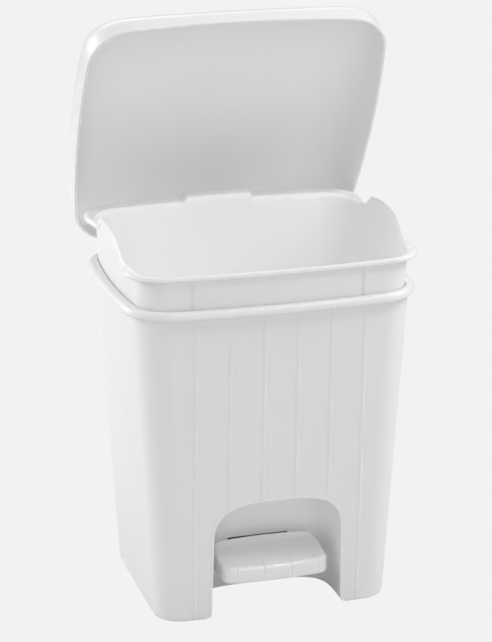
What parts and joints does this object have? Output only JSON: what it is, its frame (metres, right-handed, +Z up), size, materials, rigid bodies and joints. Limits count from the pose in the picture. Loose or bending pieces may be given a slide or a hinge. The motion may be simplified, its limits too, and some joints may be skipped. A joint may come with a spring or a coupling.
{
  "type": "pedal bin",
  "caption": "Free-standing white plastic pedal bin: tapered ribbed body, foot niche, lift-out bucket and domed hinged lid raised by a pedal and push rod.",
  "frame": {"origin": "floor level, under the middle of the box that holds the bin with its lid open; the middle of the body is 33.8 mm in front of it", "axes": "+Z up, the pedal side faces -Y, +X to the right when seen from the front"},
  "size_m": [0.312, 0.3114, 0.5818],
  "materials": {
    "axle_bearing_left": "moulded grey plastic",
    "axle_bearing_right": "moulded grey plastic",
    "axle_clip_left": "zinc plated",
    "axle_clip_right": "zinc plated",
    "base_plate": "moulded grey plastic",
    "base_screw_1": "zinc plated",
    "base_screw_2": "zinc plated",
    "base_screw_3": "zinc plated",
    "base_screw_4": "zinc plated",
    "bracket_screw_left_1": "zinc plated",
    "bracket_screw_left_2": "zinc plated",
    "bracket_screw_right_1": "zinc plated",
    "bracket_screw_right_2": "zinc plated",
    "bucket_shelf": "moulded grey plastic",
    "foot_niche": "moulded white polypropylene, satin gloss",
    "hinge_bracket_left": "moulded white polypropylene, satin gloss",
    "hinge_bracket_right": "moulded white polypropylene, satin gloss",
    "hinge_pin_left": "zinc plated",
    "hinge_pin_right": "zinc plated",
    "housing_rivet_1": "moulded grey plastic",
    "housing_rivet_2": "moulded grey plastic",
    "housing_rivet_3": "moulded grey plastic",
    "housing_rivet_4": "moulded grey plastic",
    "inner_bucket": "moulded white polypropylene, satin",
    "lid": "moulded white polypropylene, satin gloss",
    "lid_striker": "moulded white polypropylene, satin gloss",
    "outer_body": "moulded white polypropylene, satin gloss",
    "pedal": "moulded white polypropylene, satin gloss",
    "pedal_axle": "zinc plated",
    "pedal_lever": "moulded grey plastic",
    "pedal_screw_left": "zinc plated",
    "pedal_screw_right": "zinc plated",
    "push_rod": "zinc plated",
    "rod_cap": "moulded grey plastic",
    "rod_foot": "moulded grey plastic",
    "rod_guide_lower": "moulded grey plastic",
    "rod_guide_upper": "moulded grey plastic",
    "rod_housing": "moulded white polypropylene, satin gloss",
    "striker_pin": "moulded grey plastic"
  },
  "bodies": {
    "body": {"axle_bearing_left": "axle_bearing_left", "axle_bearing_right": "axle_bearing_right", "axle_clip_left": "axle_clip_left", "axle_clip_right": "axle_clip_right", "base_plate": "base_plate", "base_screw_1": "base_screw_1", "base_screw_2": "base_screw_2", "base_screw_3": "base_screw_3", "base_screw_4": "base_screw_4", "bracket_screw_left_1": "bracket_screw_left_1", "bracket_screw_left_2": "bracket_screw_left_2", "bracket_screw_right_1": "bracket_screw_right_1", "bracket_screw_right_2": "bracket_screw_right_2", "bucket_shelf": "bucket_shelf", "foot_niche": "foot_niche", "hinge_bracket_left": "hinge_bracket_left", "hinge_bracket_right": "hinge_bracket_right", "hinge_pin_left": "hinge_pin_left", "hinge_pin_right": "hinge_pin_right", "housing_rivet_1": "housing_rivet_1", "housing_rivet_2": "housing_rivet_2", "housing_rivet_3": "housing_rivet_3", "housing_rivet_4": "housing_rivet_4", "inner_bucket": "inner_bucket", "outer_body": "outer_body", "pedal_axle": "pedal_axle", "rod_guide_lower": "rod_guide_lower", "rod_guide_upper": "rod_guide_upper", "rod_housing": "rod_housing"},
    "lid": {"lid": "lid", "lid_striker": "lid_striker", "striker_pin": "striker_pin"},
    "pedal": {"pedal": "pedal", "pedal_lever": "pedal_lever", "pedal_screw_left": "pedal_screw_left", "pedal_screw_right": "pedal_screw_right"},
    "rod": {"push_rod": "push_rod", "rod_cap": "rod_cap", "rod_foot": "rod_foot"}
  },
  "joints": [
    {"name": "lid_hinge", "type": "hinge", "parent": "body", "child": "lid", "pos_m": [0, 0.1032, 0.3358], "axis": [-1, 0, 0], "range_deg": [-63.9, 0]},
    {"name": "pedal_hinge", "type": "hinge", "parent": "body", "child": "pedal", "pos_m": [0, 0.0212, 0.033], "axis": [1, 0, 0], "range_deg": [-11.8, 0]},
    {"name": "rod_slide", "type": "slide", "parent": "body", "child": "rod", "axis": [0, 0.0494, 0.9988], "range_m": [-0.0122, 0]}
  ],
  "couplings": [
    {"joint": "pedal_hinge", "follows": "lid_hinge", "ratio": 0.18451},
    {"joint": "rod_slide", "follows": "lid_hinge", "m_per_rad": 0.010849}
  ]
}
